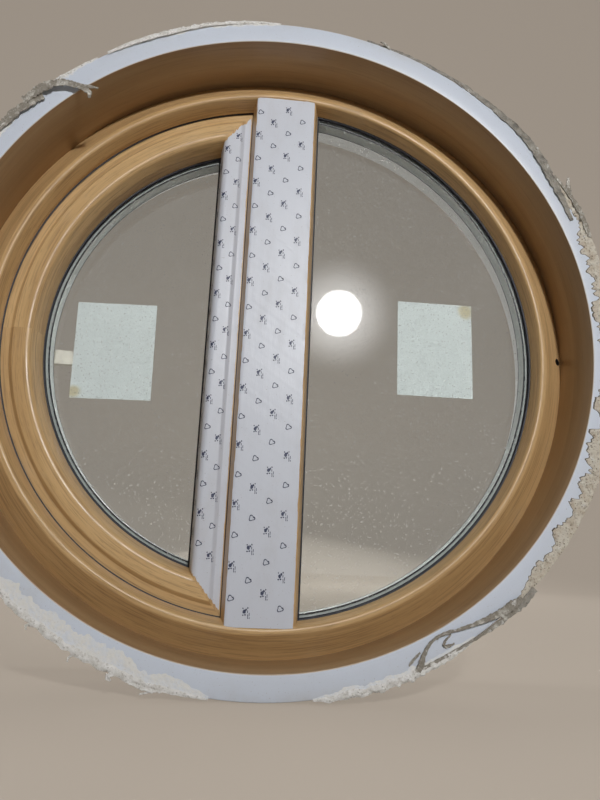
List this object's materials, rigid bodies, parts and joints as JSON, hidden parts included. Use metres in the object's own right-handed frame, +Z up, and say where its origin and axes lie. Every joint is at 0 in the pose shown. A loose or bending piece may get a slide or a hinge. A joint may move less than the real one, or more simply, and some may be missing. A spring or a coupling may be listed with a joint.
{
  "type": "round window",
  "caption": "Round plastic window with a deep ring frame, a fixed half-moon pane and a side-hung half-moon sash with handle and lock.",
  "frame": {"origin": "centre of the ring on the front plane of its white rim", "axes": "+Z up along the mullion, -Y outdoors, +X to the right seen from outdoors"},
  "size_m": [0.7556, 0.213, 0.7507],
  "materials": {
    "white_profile": null,
    "oak_foil": "golden oak wood-grain foil on plastic profile, satin",
    "clear_glass": "clear float glass, dusty",
    "spacer_metal": "matt grey spacer bar",
    "black_rubber": "black gasket",
    "film": "white protective film with small dark marks",
    "label_paper": "blank back of a paper label",
    "zinc_steel": "zinc-plated steel",
    "hardware_satin": "satin champagne lacquer on metal",
    "nylon": "grey plastic packers and connectors",
    "residue": "dry plaster, foam and mastic, crumbly"
  },
  "bodies": {
    "frame": {"depth_extension": "white_profile", "outer_frame": "oak_foil", "mullion": "oak_foil", "mullion_steel": "zinc_steel", "mullion_connectors": "nylon", "mullion_film": "film", "frame_seal": "black_rubber", "fixed_outer_pane": "clear_glass", "fixed_inner_pane": "clear_glass", "fixed_spacer": "spacer_metal", "fixed_outer_gasket": "black_rubber", "fixed_setting_blocks": "nylon", "fixed_curved_bead": "white_profile", "fixed_straight_bead": "white_profile", "fixed_label": "label_paper", "hinge_frame_leaves": "hardware_satin", "keeper": "zinc_steel", "residue_right": "residue", "residue_top": "residue", "residue_left": "residue", "residue_bottom_left": "residue", "residue_bottom": "residue"},
    "sash": {"sash_frame": "oak_foil", "stile_steel": "zinc_steel", "sash_film": "film", "sash_outer_pane": "clear_glass", "sash_inner_pane": "clear_glass", "sash_spacer": "spacer_metal", "sash_outer_gasket": "black_rubber", "sash_setting_blocks": "nylon", "sash_curved_bead": "white_profile", "sash_straight_bead": "white_profile", "sash_label": "label_paper", "sash_seal": "black_rubber", "hinge_sash_leaves": "hardware_satin", "handle_rose": "hardware_satin", "lock_case": "zinc_steel"},
    "handle": {"handle_lever": "hardware_satin", "handle_spindle": "zinc_steel", "lock_pinion": "zinc_steel"},
    "bolt": {"lock_bolt": "zinc_steel"}
  },
  "joints": [
    {"name": "sash_swing", "type": "hinge", "parent": "frame", "child": "sash", "pos_m": [-0.001, 0.157, 0], "axis": [0, 0, -1], "range_deg": [0, 90]},
    {"name": "handle_turn", "type": "hinge", "parent": "sash", "child": "handle", "pos_m": [-0.3095, 0.118, 0], "axis": [0, 1, 0], "range_deg": [0, 90]},
    {"name": "bolt_slide", "type": "slide", "parent": "sash", "child": "bolt", "axis": [-1, 0, 0], "range_m": [0, 0.01493]}
  ],
  "couplings": [
    {"joint": "bolt_slide", "follows": "handle_turn", "m_per_rad": 0.0095}
  ]
}
